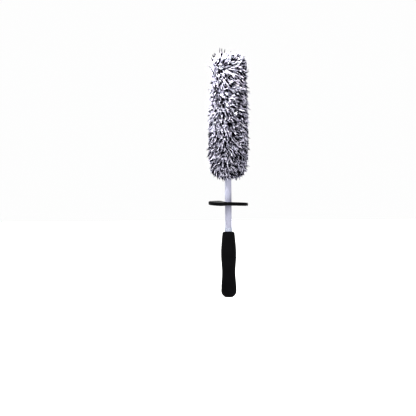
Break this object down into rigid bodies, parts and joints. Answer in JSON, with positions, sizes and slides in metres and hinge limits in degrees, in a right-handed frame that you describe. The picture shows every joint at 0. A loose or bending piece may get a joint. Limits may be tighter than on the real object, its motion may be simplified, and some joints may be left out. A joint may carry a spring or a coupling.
{
  "type": "wheel brush",
  "caption": "Plush microfibre wheel brush: a round sewn cover over a foam core, a slim neck with a sliding rubber splash guard, and a moulded rubber grip.",
  "frame": {"origin": "centre of the small flat spot at the butt end of the grip, on the brush's axis", "axes": "+Z along the brush's axis from the grip to the plush head; the cover's side seam faces +Y, away from the front view"},
  "size_m": [0.074, 0.074, 0.45],
  "materials": {
    "grip_rubber": "matte",
    "core_plastic": "satin",
    "steel": "satin",
    "neck_plastic": "satin",
    "ferrule_plastic": "satin",
    "guard_rubber": "matte",
    "foam": "matte",
    "tip_rubber": "matte",
    "knit_backing": "matte",
    "seam_thread": "matte",
    "hem_cloth": "matte",
    "elastic": "matte",
    "pile": "matte"
  },
  "bodies": {
    "handle": {"grip": "grip_rubber", "handle_core": "core_plastic", "handle_plug": "core_plastic", "locking_pin": "steel", "core_rod": "steel", "neck_tube": "neck_plastic", "neck_ferrule": "ferrule_plastic", "base_flange": "core_plastic", "foam_core": "foam", "tip_cap": "tip_rubber"},
    "guard": {"splash_guard": "guard_rubber"},
    "cover": {"cover_backing": "knit_backing", "crown_panel": "knit_backing", "crown_seam": "seam_thread", "side_seam": "seam_thread", "hem_channel": "hem_cloth", "hem_elastic": "elastic", "pile_side": "pile", "pile_crown": "pile"}
  },
  "joints": [
    {"name": "guard_slide", "type": "slide", "parent": "handle", "child": "guard", "axis": [0, 0, 1], "range_m": [-0.04, 0.037]},
    {"name": "cover_pull", "type": "slide", "parent": "handle", "child": "cover", "axis": [0, 0, 1], "range_m": [0, 0.215]}
  ]
}
